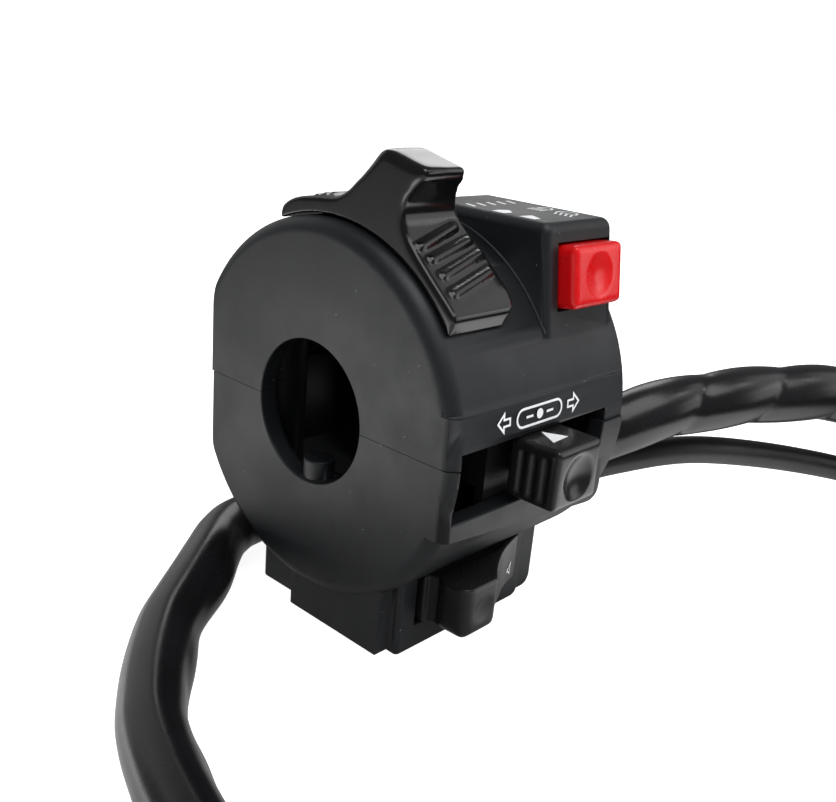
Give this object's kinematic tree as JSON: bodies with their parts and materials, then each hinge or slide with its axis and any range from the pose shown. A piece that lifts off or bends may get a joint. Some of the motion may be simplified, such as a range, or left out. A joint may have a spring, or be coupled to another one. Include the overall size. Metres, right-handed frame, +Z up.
{
  "type": "handlebar switch cluster",
  "caption": "Clamp-on handlebar switch housing with a hooked thumb lever, sliding turn knob, red push button, horn button and a sleeved wiring loom.",
  "frame": {"origin": "on the handlebar axis, at the outboard face of the housing where the bar enters", "axes": "+X along the bar towards the inboard side, -Y towards the rider, +Z up"},
  "size_m": [0.2565, 0.1084, 0.0743],
  "materials": {
    "case_plastic": "satin black glass-filled nylon, fine moulded texture",
    "gloss_black": "polished black moulding",
    "red_plastic": "gloss red moulding",
    "slide_plastic": "black acetal",
    "shoe_plastic": "natural acetal",
    "board": "brown phenolic board",
    "brass": "stamped brass",
    "steel": "zinc-plated steel",
    "rubber": "moulded black rubber",
    "sleeve": "black vinyl sleeve, half gloss",
    "plug_plastic": "natural nylon"
  },
  "bodies": {
    "housing": {"upper_housing": "case_plastic", "lower_housing": "case_plastic", "case_screws": "steel", "light_board": "board", "light_contacts": "brass", "turn_board": "board", "turn_contacts": "brass", "red_base": "board", "red_contacts": "brass", "red_spring": "steel", "horn_base": "board", "horn_contacts": "brass", "horn_spring": "steel", "loom_grommet": "rubber", "wiring_loom": "sleeve", "loom_plug": "plug_plastic", "plug_terminals": "brass", "lead_grommet": "rubber", "clutch_lead": "sleeve", "lead_plug": "plug_plastic"},
    "lever": {"thumb_lever": "gloss_black", "lever_shoe": "shoe_plastic", "lever_screw": "steel", "lever_wiper": "brass", "lever_ball": "steel", "lever_spring": "steel"},
    "carriage": {"turn_carriage": "slide_plastic", "turn_wiper": "brass", "turn_ball": "steel", "turn_spring": "steel", "knob_spring": "steel"},
    "knob": {"turn_knob": "gloss_black", "knob_clip": "steel"},
    "red": {"red_button": "red_plastic", "red_bridge": "brass"},
    "horn": {"horn_button": "gloss_black", "horn_bridge": "brass"}
  },
  "joints": [
    {"name": "lever_turn", "type": "hinge", "parent": "housing", "child": "lever", "pos_m": [0, 0, 0], "axis": [-1, 0, 0], "range_deg": [0, 20]},
    {"name": "turn_slide", "type": "slide", "parent": "housing", "child": "carriage", "axis": [1, 0, 0], "range_m": [-0.007, 0.007]},
    {"name": "knob_press", "type": "slide", "parent": "carriage", "child": "knob", "axis": [0, 1, 0], "range_m": [0, 0.0015], "stiffness_N_per_m": 300, "springref_m": -0.002, "deforming": ["knob_spring"]},
    {"name": "red_press", "type": "slide", "parent": "housing", "child": "red", "axis": [0, 0.9903, -0.1392], "range_m": [0, 0.002], "stiffness_N_per_m": 300, "springref_m": -0.002, "deforming": ["red_spring"]},
    {"name": "horn_press", "type": "slide", "parent": "housing", "child": "horn", "axis": [0, 1, 0], "range_m": [0, 0.002], "stiffness_N_per_m": 300, "springref_m": -0.002, "deforming": ["horn_spring"]}
  ]
}
